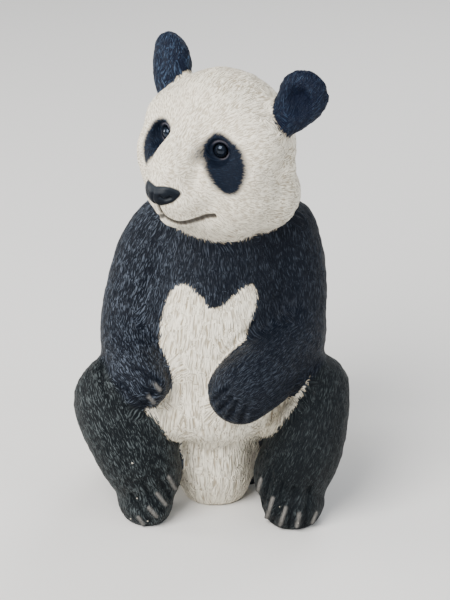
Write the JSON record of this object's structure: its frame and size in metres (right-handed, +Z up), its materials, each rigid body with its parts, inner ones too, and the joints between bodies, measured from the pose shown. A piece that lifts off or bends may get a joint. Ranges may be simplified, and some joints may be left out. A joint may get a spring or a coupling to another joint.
{
  "type": "animal figurine",
  "caption": "Seated giant panda figurine, cast and hand painted, head turned to one side, one arm across the belly.",
  "frame": {"origin": "centre of the flat underside of the rump, which the figurine stands on", "axes": "+Z up, -Y the way the chest faces, -X the side that the head is turned to"},
  "size_m": [0.2408, 0.2409, 0.4005],
  "materials": {
    "painted_resin": "hand-painted cast resin fur, black and cream, dry brushed",
    "eye_glass": "dark polished cabochon"
  },
  "bodies": {
    "root": {"panda_casting": "painted_resin", "eye_right": "eye_glass", "eye_left": "eye_glass"}
  },
  "joints": []
}
